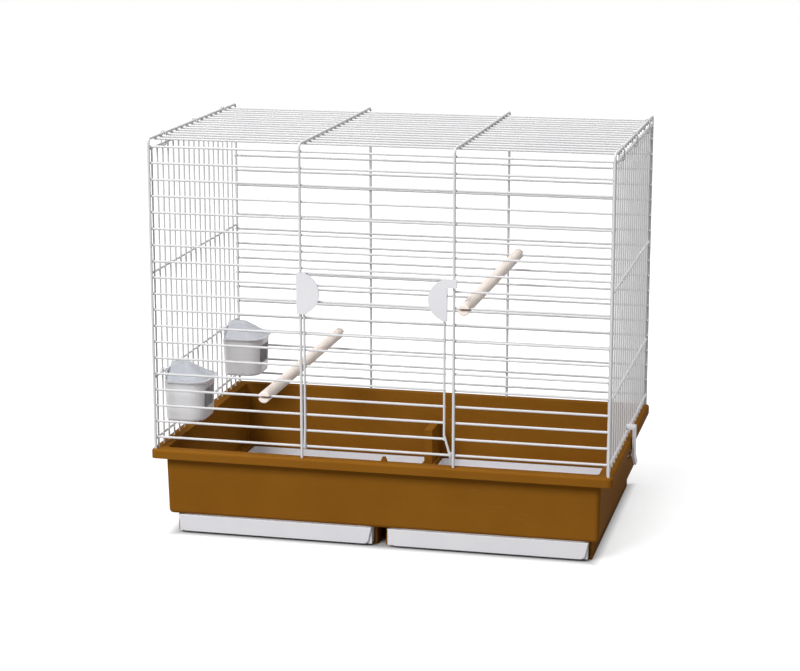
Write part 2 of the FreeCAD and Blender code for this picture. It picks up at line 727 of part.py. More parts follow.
def make_catch(label, side, arm_height):
    """Makes a half-moon catch: snapped on a door wire, with an arm over the front of the post."""
    body = new_body(label)
    wire_x = door_side_x(side)
    top = door_top_z + size("catch_rise")
    low = top - size("catch_height")
    front = door_y - door_r - size("catch_skin")
    back = door_row_y - row_r - seat_gap
    wall = size("catch_wall")

    moon = new_sketch(body, f"{label}_moon", "XZ_Plane", front)
    half = size("catch_height") / 2
    bulge = size("catch_bulge")
    radius = half * half / (bulge * 2) + bulge / 2
    spread = math.atan2(half.value, radius.value - bulge.value)
    facing = 0 if side == LEFT else math.pi
    chord = moon.addGeometry(Part.LineSegment(flat(wire_x, low), flat(wire_x, top)))
    ring = Part.Circle(flat(wire_x - side * (bulge - radius), low + half), V(0, 0, 1), radius.value)
    arc = moon.addGeometry(Part.ArcOfCircle(ring, facing - spread, facing + spread))
    arc_low, arc_top = (1, 2) if side == LEFT else (2, 1)
    moon.addConstraint(Sketcher.Constraint("Coincident", chord, 1, arc, arc_low))
    moon.addConstraint(Sketcher.Constraint("Coincident", chord, 2, arc, arc_top))
    hold(moon, chord, 1, wire_x, low)
    hold(moon, chord, 2, wire_x, top)
    hold_radius(moon, arc, radius)
    pad(body, moon, size("catch_plate"), reverse=True)

    grip = new_sketch(body, f"{label}_grip", "XZ_Plane", front)
    rectangle(grip, wire_x - door_r - wall, wire_x + door_r + wall, low, top)
    pad(body, grip, back - front, reverse=True)

    post_gap = post_r + seat_gap
    arm = new_sketch(body, f"{label}_arm", "XZ_Plane", front)
    rectangle(arm, wire_x, side * (middle_post_x + post_gap + wall), top - arm_height, top)
    pad(body, arm, back - front, reverse=True)

    groove = new_sketch(body, f"{label}_groove", "XY_Plane", low)
    circle(groove, wire_x, door_y, door_r + size("catch_grip"))
    pocket(body, groove, size("catch_height"), reverse=True)

    notch = new_sketch(body, f"{label}_notch", "XY_Plane", low)
    rectangle(notch, side * middle_post_x - post_gap, side * middle_post_x + post_gap,
              -post_y - post_r - seat_gap, back + OVERCUT)
    pocket(body, notch, size("catch_height"), reverse=True)
    return body


# Drawers
def make_drawer(label, side):
    """Makes a drawer: a shallow tray on the runners, with a front plate under the wall's foot."""
    body = new_body(label)
    gap = size("drawer_gap")
    wall = size("drawer_wall")
    low = size("runner_height") + seat_gap
    inner = rail_x + gap
    outer = skirt_inner_x - gap
    x_low = inner if side == RIGHT else -outer
    x_high = outer if side == RIGHT else -inner
    plate_face = size("front_plate_inset") - foot_y
    front = plate_face + size("front_plate")
    back = skirt_inner_y - size("drawer_back_gap")
    top = size("drawer_wall_top")

    plate = new_sketch(body, f"{label}_plate", "XZ_Plane", plate_face)
    lean = size("front_plate_lean")
    plate_top = tub_bottom - size("front_plate_top_gap")
    overlap = size("front_plate_overlap")
    plate_low = x_low if side == RIGHT else x_low - overlap
    plate_high = x_high + overlap if side == RIGHT else x_high
    polygon(plate, [
        (plate_low + lean, low), (plate_high - lean, low), (plate_high, plate_top), (plate_low, plate_top)])
    plate_pad = pad(body, plate, size("front_plate"), reverse=True)
    corners = round_edges(body, f"{label}_corners", plate_pad, size("front_plate_corner"),
                          lambda box: near(box.YMin, plate_face) and near(box.YMax, front)
                          and near(box.ZMax, low))
    round_edges(body, f"{label}_edges", corners, size("front_plate_edge"),
                lambda box: near(box.YMin, plate_face) and near(box.YMax, plate_face))

    tray = new_sketch(body, f"{label}_tray", "XY_Plane", low)
    rectangle(tray, x_low, x_high, front, back)
    pad(body, tray, top - low)

    inside = new_sketch(body, f"{label}_inside", "XY_Plane", top)
    round_rectangle(inside, x_low + wall, x_high - wall, front + wall, back - wall, size("drawer_corner"))
    pocket(body, inside, top - low - wall)
    return body


# Side clips
def make_clip(label, side):
    """Makes a side clip: a hook over the lowest side bar, a stem past the rim and a finger tab."""
    body = new_body(label)
    pivot_x, pivot_z = pivot(side)
    thickness = size("clip_thickness")
    web = size("clip_web") / 2
    hook_low = low_bar_z + bar_r + seat_gap
    hook_top = hook_low + thickness
    tip = side * (post_x - size("clip_reach"))
    stem_in = side * (rim_x + size("clip_rim_gap"))
    stem_out = stem_in + side * thickness
    tab_low = pivot_z - size("clip_tab")
    flare = side * size("clip_flare")
    half = size("clip_width") / 2

    shape = new_sketch(body, f"{label}_shape", "XZ_Plane", clip_y - half)
    polygon(shape, [
        (tip, hook_low), (stem_in, hook_low), (stem_in, pivot_z + web), (pivot_x, pivot_z + web),
        (pivot_x, pivot_z - web), (stem_in, pivot_z - web), (stem_in + flare, tab_low),
        (stem_out + flare, tab_low), (stem_out, pivot_z - web), (stem_out, hook_top), (tip, hook_top)])
    pad(body, shape, size("clip_width"), reverse=True)

    knuckle = new_sketch(body, f"{label}_knuckle", "XZ_Plane", clip_y - half)
    circle(knuckle, pivot_x, pivot_z, size("knuckle") / 2)
    pad(body, knuckle, size("clip_width"), reverse=True)

    pin_half = half + size("ear_gap") + size("ear_thickness")
    pins = new_sketch(body, f"{label}_pins", "XZ_Plane", clip_y - pin_half)
    circle(pins, pivot_x, pivot_z, size("pivot_pin") / 2)
    pad(body, pins, pin_half * 2, reverse=True)
    return body


# Feeders
cup_back_x = seat_gap + side_r - side_x
cup_front_x = cup_back_x + size("cup_reach")
cup_low_z = feeder_bar_z - size("cup_drop")
cup_top_z = cup_low_z + size("cup_height")


def make_cup(label, space):
    """Makes a feeder cup with its window, and the hooks that hang it on a side bar."""
    body = new_body(label)
    middle = side_wire_y(space)
    half = size("cup_length") / 2
    wall = size("cup_wall")
    draft = size("cup_draft")
    lean = lean_angle(draft, size("cup_height"))
    corner = size("cup_corner")
    back_corner = size("cup_back_corner")

    cup = new_sketch(body, f"{label}_cup", "XY_Plane", cup_low_z)
    round_rectangle(cup, cup_back_x + draft, cup_front_x - draft, middle - half + draft,
                    middle + half - draft, corner - draft, back_corner - draft)
    cup_pad = pad(body, cup, size("cup_height"), lean=lean)
    round_edges(body, f"{label}_edge", cup_pad, size("cup_edge"), level_at(cup_low_z))

    inside = new_sketch(body, f"{label}_inside", "XY_Plane", cup_top_z)
    round_rectangle(inside, cup_back_x + wall, cup_front_x - wall, middle - half + wall,
                    middle + half - wall, corner - wall, back_corner)
    inside_pocket = pocket(body, inside, size("cup_height") - wall, lean=-lean)
    round_edges(body, f"{label}_inside_edge", inside_pocket, size("cup_inside_edge"),
                level_at(cup_low_z + wall))

    window_top = cup_top_z - size("window_drop")
    window = new_sketch(body, f"{label}_window", "YZ_Plane", cup_front_x - corner)
    round_rectangle(window, middle - size("window_length") / 2, middle + size("window_length") / 2,
                    window_top - size("window_height"), window_top, size("window_corner"))
    pocket(body, window, corner + OVERCUT, reverse=True)

    hook_low = feeder_bar_z + bar_r + seat_gap
    hook_top = hook_low + size("hook_thickness")
    plate = new_sketch(body, f"{label}_plate", "XY_Plane", cup_top_z - wall)
    rectangle(plate, cup_back_x, cup_back_x + wall, middle - size("back_plate_length") / 2,
              middle + size("back_plate_length") / 2)
    pad(body, plate, hook_top - cup_top_z + wall)

    hook_in = -post_x - bar_r - seat_gap
    hook_out = hook_in - size("hook_thickness")
    hook_end = feeder_bar_z - size("hook_drop")
    for name, hook_space in (("front", space - 1), ("back", space + 1)):
        hook = new_sketch(body, f"{label}_hook_{name}", "XZ_Plane",
                          side_wire_y(hook_space) - size("hook_width") / 2)
        polygon(hook, [
            (cup_back_x + wall, hook_low), (cup_back_x + wall, hook_top), (hook_out, hook_top),
            (hook_out, hook_end), (hook_in, hook_end), (hook_in, hook_low)])
        pad(body, hook, size("hook_width"), reverse=True)
    return body


def make_hood(label, space):
    """Makes a feeder's hood: a flange on the cup's rim and a dome that falls away from the wires."""
    body = new_body(label)
    middle = side_wire_y(space)
    half = size("cup_length") / 2
    overhang = size("hood_overhang")
    wall = size("hood_wall")
    back = cup_back_x + size("cup_wall") + seat_gap
    inset = size("hood_inset")
    corner = size("cup_corner")
    back_corner = size("cup_back_corner")
    dome_low = cup_top_z + size("hood_flange")
    dome_top = dome_low + size("hood_rise")
    ridge_half = size("hood_ridge_length") / 2
    ridge_front = back + size("hood_ridge_reach")
    ridge_corner = size("hood_ridge_corner")

    flange = new_sketch(body, f"{label}_flange", "XY_Plane", cup_top_z)
    round_rectangle(flange, back, cup_front_x + overhang, middle - half - overhang, middle + half + overhang,
                    corner + overhang, back_corner)
    pad(body, flange, size("hood_flange"))

    dome = new_sketch(body, f"{label}_dome", "XY_Plane", dome_low)
    round_rectangle(dome, back, cup_front_x - inset, middle - half + inset, middle + half - inset,
                    corner - inset, back_corner)
    ridge = new_sketch(body, f"{label}_ridge", "XY_Plane", dome_top)
    round_rectangle(ridge, back, ridge_front, middle - ridge_half, middle + ridge_half, ridge_corner,
                    ridge_corner / 2)
    dome_loft = loft(body, "PartDesign::AdditiveLoft", dome, ridge)
    round_edges(body, f"{label}_edge", dome_loft, size("hood_edge"), level_at(dome_top))

    rim = inset + wall * 2
    mouth = new_sketch(body, f"{label}_mouth", "XY_Plane", cup_top_z)
    round_rectangle(mouth, back + wall, cup_front_x - rim, middle - half + rim, middle + half - rim,
                    corner - rim, back_corner)
    roof = new_sketch(body, f"{label}_roof", "XY_Plane", dome_top - wall)
    round_rectangle(roof, back + wall, ridge_front - wall, middle - ridge_half + wall,
                    middle + ridge_half - wall, ridge_corner - wall, ridge_corner / 2)
    cuts.append(loft(body, "PartDesign::SubtractiveLoft", mouth, roof))
    return body


# Perches
def make_perch(label, place_x, index):
    """Makes a perch: a dowel whose slotted ends straddle a row of the front and back."""
    body = new_body(label)
    radius = size("perch_diameter") / 2
    half = row_y + size("perch_overhang")
    height = row_z(index)
    dowel = new_sketch(body, f"{label}_dowel", "XZ_Plane", -half)
    circle(dowel, place_x, height, radius)
    dowel_pad = pad(body, dowel, half * 2, reverse=True)
    round_edges(body, f"{label}_ends", dowel_pad, size("perch_edge"), lambda box: near(box.YMin, box.YMax))

    slot_half = row_r + seat_gap
    inner = row_y - slot_half
    slots = new_sketch(body, f"{label}_slots", "YZ_Plane", place_x - radius - OVERCUT)
    for y_low, y_high in ((-half - OVERCUT, -inner), (inner, half + OVERCUT)):
        rectangle(slots, y_low, y_high, height - slot_half, height + slot_half)
    pocket(body, slots, (radius + OVERCUT) * 2, reverse=True)
    return body


def check(items):
    """Stops where a feature failed, a cut took nothing away or a sub-part isn't a sound solid."""
    for item in doc.Objects:
        if "Invalid" in item.State or "Error" in item.State:
            raise RuntimeError(f"{item.Label} did not build: {item.State}")
    for cut in cuts:
        if cut.Shape.Volume >= cut.BaseFeature.Shape.Volume:
            raise RuntimeError(f"{cut.Label} cuts nothing")
    for item in items:
        shape = item.Shape
        if shape.isNull() or not shape.isValid() or not shape.Solids:
            raise RuntimeError(f"{item.Label} is not a sound solid")


def make_all():
    """Makes every sub-part."""
    first_space = size("feeder_gap").value
    last_space = count("side_wire_count") - 1 - first_space
    left_panel = make_side_panel("left_panel")
    left_ties = make_ties("left_ties")
    return [
        make_base(),
        make_upright_panel("front_panel", FRONT),
        make_upright_panel("back_panel", BACK),
        make_roof(),
        left_panel,
        mirrored("right_panel", left_panel),
        left_ties,
        mirrored("right_ties", left_ties),
        make_door(),
        make_catch("door_catch_left", LEFT, size("catch_height")),
        make_catch("door_catch_right", RIGHT, size("catch_arm")),
        make_drawer("drawer_left", LEFT),
        make_drawer("drawer_right", RIGHT),
        make_clip("clip_left", LEFT),
        make_clip("clip_right", RIGHT),
        make_cup("feeder_front_cup", first_space),
        make_hood("feeder_front_hood", first_space),
        make_cup("feeder_back_cup", last_space),
        make_hood("feeder_back_hood", last_space),
        make_perch("perch_left", -size("perch_left_place"), count("perch_left_row")),
        make_perch("perch_right", size("perch_right_place"), count("perch_right_row")),
    ]


pieces = make_all()
doc.recompute()
check(pieces)
os.makedirs("parts", exist_ok=True)
for piece in pieces:
    piece.Shape.exportStep(f"parts/{piece.Label}.step")
    box = piece.Shape.BoundBox
    print(f"{piece.Label}: {len(piece.Shape.Solids)} solids, {piece.Shape.Volume:.0f} mm3,"
          f" {box.XLength:.1f} x {box.YLength:.1f} x {box.ZLength:.1f} mm")
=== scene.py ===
"""Dresses the parrot cage: coated wires with welds, moulded base, drawers, feeders and perches."""
import logging
import math
from dataclasses import dataclass
from enum import Enum

import bmesh
import bpy
from mathutils import Matrix, Vector


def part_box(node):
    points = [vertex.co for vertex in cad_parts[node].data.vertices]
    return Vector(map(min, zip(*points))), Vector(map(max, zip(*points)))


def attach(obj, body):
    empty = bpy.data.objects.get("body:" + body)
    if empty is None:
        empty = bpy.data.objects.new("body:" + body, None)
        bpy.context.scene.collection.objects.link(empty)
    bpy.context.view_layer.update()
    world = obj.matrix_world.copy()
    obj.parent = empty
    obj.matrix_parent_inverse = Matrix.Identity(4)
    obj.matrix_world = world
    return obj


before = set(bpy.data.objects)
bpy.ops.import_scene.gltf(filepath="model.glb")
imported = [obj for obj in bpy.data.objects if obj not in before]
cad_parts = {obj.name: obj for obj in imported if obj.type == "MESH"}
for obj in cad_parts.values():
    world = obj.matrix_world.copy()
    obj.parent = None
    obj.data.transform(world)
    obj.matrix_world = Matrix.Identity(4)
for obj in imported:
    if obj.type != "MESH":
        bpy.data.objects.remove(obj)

Colour = tuple[float, float, float]
Point = tuple[float, float, float]
Socket = bpy.types.NodeSocket

LOG = logging.getLogger("parrot_cage")
SURFACE_IOR = 1.5
PURE_WHITE: Colour = (1.0, 1.0, 1.0)


class Body(Enum):
    """The rigid bodies that new pieces ride on."""

    CAGE = "cage"
    DOOR = "door_leaf"


class Side(Enum):
    """The four upright sides of the wire cage."""

    FRONT = "front"
    BACK = "back"
    LEFT = "left"
    RIGHT = "right"

    @property
    def sign(self) -> int:
        """Returns -1 for the front and the left, and 1 for the back and the right."""
        return -1 if self in (Side.FRONT, Side.LEFT) else 1


@dataclass(frozen=True)
class Pattern:
    """A noise pattern, and the range of its values that a mask is spread over."""

    scale: float
    detail: float
    low: float = 0.0
    high: float = 1.0
    roughness: float = 0.5


class Tree:
    """A small helper that adds and links the nodes of a material or a node group."""

    MIX_FIRST = 6
    MIX_SECOND = 7
    MIX_RESULT = 2

    def __init__(self, tree: bpy.types.NodeTree) -> None:
        """Keeps the tree to work on.

        Args:
            tree: The node tree of a material, a world or a group.
        """
        self.tree = tree

    def add(self, kind: str, inputs: dict[str, object] | None = None,
            **settings: object) -> bpy.types.Node:
        """Adds a node.

        Args:
            kind: The node's type name.
            inputs: Values or sockets for the node's inputs, by socket name.
            settings: The node's own properties.

        Returns:
            The new node.
        """
        node = self.tree.nodes.new(kind)
        for name, value in settings.items():
            setattr(node, name, value)
        for name, value in (inputs or {}).items():
            self.feed(node.inputs[name], value)
        return node

    def feed(self, socket: Socket, value: object) -> None:
        """Links a socket to an output, or sets its value.

        Args:
            socket: The input socket.
            value: An output socket, or a plain value.
        """
        if isinstance(value, Socket):
            self.tree.links.new(value, socket)
        elif isinstance(value, tuple) and socket.type == "RGBA":
            socket.default_value = (*value, 1.0)
        else:
            socket.default_value = value

    def effect(self, group: bpy.types.ShaderNodeTree, inputs: dict[str, object]) -> bpy.types.Node:
        """Places a shared effect.

        Args:
            group: The effect's node group.
            inputs: Values or sockets for its inputs, by socket name.

        Returns:
            The group's node.
        """
        node = self.add("ShaderNodeGroup", node_tree=group)
        for name, value in inputs.items():
            self.feed(node.inputs[name], value)
        return node

    def noise(self, vector: Socket, pattern: Pattern) -> Socket:
        """Returns the value of a noise pattern.

        Args:
            vector: Where the pattern is read.
            pattern: Its frequency per metre and its octaves.

        Returns:
            The noise value, about 0.5 on average.
        """
        inputs = {"Vector": vector, "Scale": pattern.scale, "Detail": pattern.detail,
                  "Roughness": pattern.roughness}
        return self.add("ShaderNodeTexNoise", inputs).outputs["Fac"]

    def ramp(self, value: Socket, low: float, high: float, start: float = 0.0,
             end: float = 1.0) -> Socket:
        """Returns a value spread from one range to another and held at its ends.

        Args:
            value: The value to spread.
            low: Where the spread starts.
            high: Where it ends.
            start: The result at the start.
            end: The result at the end.

        Returns:
            The spread value.
        """
        inputs = {"Value": value, "From Min": low, "From Max": high, "To Min": start, "To Max": end}
        return self.add("ShaderNodeMapRange", inputs, clamp=True).outputs["Result"]

    def mask(self, vector: Socket, pattern: Pattern) -> Socket:
        """Returns a noise pattern spread from 0 to 1 over its own range."""
        return self.ramp(self.noise(vector, pattern), pattern.low, pattern.high)

    def math(self, operation: str, first: object, second: object = 0.0) -> Socket:
        """Returns the result of a sum on one or two values.

        Args:
            operation: The name of the sum.
            first: The first value or socket.
            second: The second value or socket.

        Returns:
            The result.
        """
        node = self.add("ShaderNodeMath", operation=operation)
        self.feed(node.inputs[0], first)
        self.feed(node.inputs[1], second)
        return node.outputs["Value"]

    def blend(self, share: object, first: object, second: object) -> Socket:
        """Returns a mix of two colours.

        Args:
            share: How much of the second colour there is.
            first: The first colour or socket.
            second: The second colour or socket.

        Returns:
            The mixed colour.
        """
        node = self.add("ShaderNodeMix", data_type="RGBA")
        self.feed(node.inputs["Factor"], share)
        self.feed(node.inputs[self.MIX_FIRST], first)
        self.feed(node.inputs[self.MIX_SECOND], second)
        return node.outputs[self.MIX_RESULT]


class Effects:
    """Shader node groups that several finishes share."""

    CLOUDS = Pattern(14.0, 3.0, 0.3, 0.7)
    SPECKLES = Pattern(900.0, 1.0, 0.25, 0.75)
    SPECKLE_SWING = 0.5
    SCRATCHES = Pattern(55.0, 2.0, 0.62, 0.72)
    SCRATCH_TURN = (0.3, 0.5, 0.7)
    SCRATCH_STRETCH = (1.0, 16.0, 9.0)
    RUBBED_PATCHES = Pattern(9.0, 2.0, 0.5, 0.68)
    DUST_FLECKS = Pattern(160.0, 3.0, 0.45, 0.75)
    DUST_SLOPE = 0.6

    made: dict[str, bpy.types.ShaderNodeTree] = {}

    @classmethod
    def group(cls, name: str, inputs: dict[str, str],
              outputs: dict[str, str]) -> tuple[Tree, bpy.types.Node, bpy.types.Node]:
        """Starts a node group with its sockets.

        Args:
            name: The group's name.
            inputs: The input sockets' kinds, by name.
            outputs: The output sockets' kinds, by name.

        Returns:
            The group's tree, its input node and its output node.
        """
        tree = bpy.data.node_groups.new(name, "ShaderNodeTree")
        for label, kind in inputs.items():
            tree.interface.new_socket(label, in_out="INPUT", socket_type=kind)
        for label, kind in outputs.items():
            tree.interface.new_socket(label, in_out="OUTPUT", socket_type=kind)
        work = Tree(tree)
        cls.made[name] = tree
        return work, work.add("NodeGroupInput"), work.add("NodeGroupOutput")

    @classmethod
    def mask_group(cls, name: str) -> tuple[Tree, bpy.types.Node, bpy.types.Node]:
        """Starts a node group that puts out a mask of a given amount.

        Args:
            name: The group's name.

        Returns:
            The group's tree, its input node and its output node.
        """
        inputs = {"Vector": "NodeSocketVector", "Amount": "NodeSocketFloat"}
        return cls.group(name, inputs, {"Mask": "NodeSocketFloat"})

    @classmethod
    def drift(cls) -> bpy.types.ShaderNodeTree:
        """Returns the group that lets a colour drift between two tones, with a fine speckle."""
        name = "colour_drift"
        if name not in cls.made:
            inputs = {"Vector": "NodeSocketVector", "Tone": "NodeSocketColor",
                      "Other Tone": "NodeSocketColor", "Speckle": "NodeSocketFloat"}
            outputs = {"Color": "NodeSocketColor", "Cloud": "NodeSocketFloat"}
            work, given, out = cls.group(name, inputs, outputs)
            place = given.outputs["Vector"]
            cloud = work.mask(place, cls.CLOUDS)
            grain = work.ramp(work.noise(place, cls.SPECKLES), cls.SPECKLES.low, cls.SPECKLES.high,
                              -cls.SPECKLE_SWING, cls.SPECKLE_SWING)
            speckle = work.math("MULTIPLY", grain, given.outputs["Speckle"])
            share = work.math("ADD", cloud, speckle)
            colour = work.blend(share, given.outputs["Tone"], given.outputs["Other Tone"])
            work.feed(out.inputs["Color"], colour)
            work.feed(out.inputs["Cloud"], cloud)
        return cls.made[name]

    @classmethod
    def scuffs(cls) -> bpy.types.ShaderNodeTree:
        """Returns the group that gives a mask of fine scratches in rubbed patches."""
        name = "scuffs"
        if name not in cls.made:
            work, given, out = cls.mask_group(name)
            place = given.outputs["Vector"]
            stretch = work.add("ShaderNodeMapping", {
                "Vector": place, "Rotation": cls.SCRATCH_TURN, "Scale": cls.SCRATCH_STRETCH})
            lines = work.mask(stretch.outputs["Vector"], cls.SCRATCHES)
            patch = work.mask(place, cls.RUBBED_PATCHES)
            scratched = work.math("MULTIPLY", lines, patch)
            mask = work.math("MULTIPLY", scratched, given.outputs["Amount"])
            work.feed(out.inputs["Mask"], mask)
        return cls.made[name]

    @classmethod
    def dust(cls) -> bpy.types.ShaderNodeTree:
        """Returns the group that gives a mask of dust on what faces up."""
        name = "settled_dust"
        if name not in cls.made:
            work, given, out = cls.mask_group(name)
            normal = work.add("ShaderNodeNewGeometry").outputs["Normal"]
            facing = work.add("ShaderNodeSeparateXYZ", {"Vector": normal}).outputs["Z"]
            level = work.ramp(facing, cls.DUST_SLOPE, 1.0)
            fleck = work.mask(given.outputs["Vector"], cls.DUST_FLECKS)
            dusty = work.math("MULTIPLY", level, fleck)
            mask = work.math("MULTIPLY", dusty, given.outputs["Amount"])
            work.feed(out.inputs["Mask"], mask)
        return cls.made[name]


@dataclass(frozen=True)
class Finish:
    """A surface finish: the start of its material, with object coordinates and a glossy shader."""

    name: str
    tone: Colour
    other_tone: Colour
    roughness: float
    shine: float

    def start(self) -> tuple[bpy.types.Material, Tree, Socket, bpy.types.Node]:
        """Makes the bare material.

        Returns:
            The material, its tree, the object coordinates and the shader.
        """
        material = bpy.data.materials.new(self.name)
        material.use_nodes = True
        material.node_tree.nodes.clear()
        work = Tree(material.node_tree)
        place = work.add("ShaderNodeTexCoord").outputs["Object"]
        shader = work.add("ShaderNodeBsdfPrincipled", {
            "IOR": SURFACE_IOR, "Specular IOR Level": self.shine})
        end = work.add("ShaderNodeOutputMaterial")
        work.feed(end.inputs["Surface"], shader.outputs["BSDF"])
        return material, work, place, shader

    def drift(self, work: Tree, place: Socket, speckle: float) -> bpy.types.Node:
        """Lets the finish's colour drift between its two tones.

        Args:
            work: The material's tree.
            place: The object coordinates.
            speckle: How strong the fine speckle is.

        Returns:
            The node with the colour and its clouds.
        """
        return work.effect(Effects.drift(), {
            "Vector": place, "Tone": self.tone, "Other Tone": self.other_tone, "Speckle": speckle})

    def bump(self, work: Tree, height: Socket, depth: float) -> Socket:
        """Returns a normal that follows a height.

        Args:
            work: The material's tree.
            height: The height, from 0 to 1.
            depth: The height's real depth in metres.

        Returns:
            The bent normal.
        """
        inputs = {"Height": height, "Distance": depth, "Strength": 1.0}
        return work.add("ShaderNodeBump", inputs).outputs["Normal"]


@dataclass(frozen=True)
class Moulding(Finish):
    """Moulded plastic with a fine sparked grain, a slow drift of colour, scuffs and dust."""

    scuff: float
    scuff_tone: Colour
    dust: float
    dust_tone: Colour
    speckle: float = 0.25
    grain: Pattern = Pattern(1400.0, 2.0)
    grain_depth: float = 0.00004
    cloud_matt: float = 0.3
    polish: float = 0.05
    wear: float = 0.3
    milkiness: float = 0.0
    milk_depth: float = 0.012

    def material(self) -> bpy.types.Material:
        """Returns the plastic's material."""
        material, work, place, shader = self.start()
        drift = self.drift(work, place, self.speckle)
        scuffing = {"Vector": place, "Amount": self.scuff}
        scuffs = work.effect(Effects.scuffs(), scuffing).outputs["Mask"]
        dusting = {"Vector": place, "Amount": self.dust}
        dust = work.effect(Effects.dust(), dusting).outputs["Mask"]
        scuffed = work.blend(scuffs, drift.outputs["Color"], self.scuff_tone)
        work.feed(shader.inputs["Base Color"], work.blend(dust, scuffed, self.dust_tone))
        cloudy = work.math("MULTIPLY", drift.outputs["Cloud"], self.cloud_matt)
        matt = work.math("ADD", cloudy, work.math("ADD", scuffs, dust))
        smoothest = self.roughness - self.polish
        rough = work.ramp(matt, 0.0, 1.0, smoothest, self.roughness + self.wear)
        work.feed(shader.inputs["Roughness"], rough)
        grain = work.noise(place, self.grain)
        work.feed(shader.inputs["Normal"], self.bump(work, grain, self.grain_depth))
        work.feed(shader.inputs["Subsurface Weight"], self.milkiness)
        work.feed(shader.inputs["Subsurface Radius"], PURE_WHITE)
        work.feed(shader.inputs["Subsurface Scale"], self.milk_depth)
        return material


@dataclass(frozen=True)
class WireCoat(Finish):
    """White powder coat on wire: a soft orange-peel skin that pools in slightly warmer tones."""

    speckle: float = 0.15
    dust: float = 0.12
    dust_tone: Colour = (0.62, 0.6, 0.56)
    peel: Pattern = Pattern(1800.0, 1.5, 0.3, 0.7)
    peel_depth: float = 0.00003
    peel_swing: float = 0.06

    def material(self) -> bpy.types.Material:
        """Returns the coat's material."""
        material, work, place, shader = self.start()
        drift = self.drift(work, place, self.speckle)
        dusting = {"Vector": place, "Amount": self.dust}
        dust = work.effect(Effects.dust(), dusting).outputs["Mask"]
        colour = work.blend(dust, drift.outputs["Color"], self.dust_tone)
        work.feed(shader.inputs["Base Color"], colour)
        peel = work.noise(place, self.peel)
        rough = work.ramp(peel, self.peel.low, self.peel.high, self.roughness - self.peel_swing,
                          self.roughness + self.peel_swing)
        work.feed(shader.inputs["Roughness"], rough)
        work.feed(shader.inputs["Normal"], self.bump(work, peel, self.peel_depth))
        return material


@dataclass(frozen=True)
class DowelWood(Finish):
    """Bare turned wood with its grain along the dowel and rings on the sawn ends."""

    centre: Point
    vein_tone: Colour = (0.55, 0.42, 0.34)
    pith_offset: Point = (0.011, 0.0, 0.006)
    pith_tilt: Point = (0.02, 0.0, 0.03)
    bends: Pattern = Pattern(22.0, 2.0)
    ring_rate: float = 3600.0
    ring_wander: float = 9.0
    ring_from: float = -0.3
    ring_share: float = 0.55
    fibre: Pattern = Pattern(1500.0, 3.0, 0.35, 0.75, 0.6)
    fibre_stretch: Point = (1.0, 0.03, 1.0)
    fibre_share: float = 0.3
    fibre_depth: float = 0.00008
    fibre_matt: float = 0.15

    def rings(self, work: Tree, centred: Socket) -> Socket:
        """Returns the growth rings about a pith that lies beside the dowel.

        Args:
            work: The material's tree.
            centred: The coordinates about the dowel's middle.

        Returns:
            A mask of the darker wood in each ring.
        """
        pith = work.add("ShaderNodeMapping", {
            "Vector": centred, "Location": self.pith_offset, "Rotation": self.pith_tilt})
        wander = work.noise(pith.outputs["Vector"], self.bends)
        parts = work.add("ShaderNodeSeparateXYZ", {"Vector": pith.outputs["Vector"]})
        across = work.math("MULTIPLY", parts.outputs["X"], parts.outputs["X"])
        up = work.math("MULTIPLY", parts.outputs["Z"], parts.outputs["Z"])
        reach = work.math("SQRT", work.math("ADD", across, up))
        even = work.math("MULTIPLY", reach, self.ring_rate)
        wave = work.math("ADD", even, work.math("MULTIPLY", wander, self.ring_wander))
        return work.ramp(work.math("SINE", wave), self.ring_from, 1.0)

    def material(self) -> bpy.types.Material:
        """Returns the wood's material."""
        material, work, place, shader = self.start()
        middle = tuple(-value for value in self.centre)
        centring = work.add("ShaderNodeMapping", {"Vector": place, "Location": middle})
        centred = centring.outputs["Vector"]
        rings = work.math("MULTIPLY", self.rings(work, centred), self.ring_share)
        along = work.add("ShaderNodeMapping", {"Vector": centred, "Scale": self.fibre_stretch})
        fibre = work.mask(along.outputs["Vector"], self.fibre)
        ringed = work.blend(rings, self.tone, self.other_tone)
        veins = work.math("MULTIPLY", fibre, self.fibre_share)
        work.feed(shader.inputs["Base Color"], work.blend(veins, ringed, self.vein_tone))
        rough = work.ramp(fibre, 0.0, 1.0, self.roughness, self.roughness + self.fibre_matt)
        work.feed(shader.inputs["Roughness"], rough)
        work.feed(shader.inputs["Normal"], self.bump(work, fibre, self.fibre_depth))
        return material


BROWN = Moulding(
    name="ochre_brown_moulding", tone=(0.212, 0.083, 0.009), other_tone=(0.24, 0.097, 0.011),
    roughness=0.5, shine=0.002, scuff=0.25, scuff_tone=(0.3, 0.155, 0.04),
    dust=0.08, dust_tone=(0.33, 0.22, 0.1))
WHITE = Moulding(
    name="white_moulding", tone=(0.69, 0.685, 0.715), other_tone=(0.73, 0.725, 0.75),
    roughness=0.34, shine=0.2, scuff=0.25, scuff_tone=(0.63, 0.615, 0.63),
    dust=0.12, dust_tone=(0.63, 0.61, 0.58))
CUP = Moulding(
    name="feeder_cup_moulding", tone=(0.93, 0.925, 0.96), other_tone=(0.95, 0.945, 0.975),
    roughness=0.3, shine=0.2, scuff=0.2, scuff_tone=(0.84, 0.84, 0.87),
    dust=0.1, dust_tone=(0.8, 0.8, 0.8), grain_depth=0.00002, milkiness=0.5)
HOOD = Moulding(
    name="feeder_hood_moulding", tone=(0.51, 0.53, 0.585), other_tone=(0.55, 0.57, 0.625),
    roughness=0.3, shine=0.15, scuff=0.2, scuff_tone=(0.5, 0.51, 0.55),
    dust=0.1, dust_tone=(0.52, 0.53, 0.55), grain_depth=0.00002, milkiness=1.0)
COAT = WireCoat(
    name="white_wire_coat", tone=(0.6, 0.6, 0.612), other_tone=(0.64, 0.635, 0.64),
    roughness=0.42, shine=0.15)


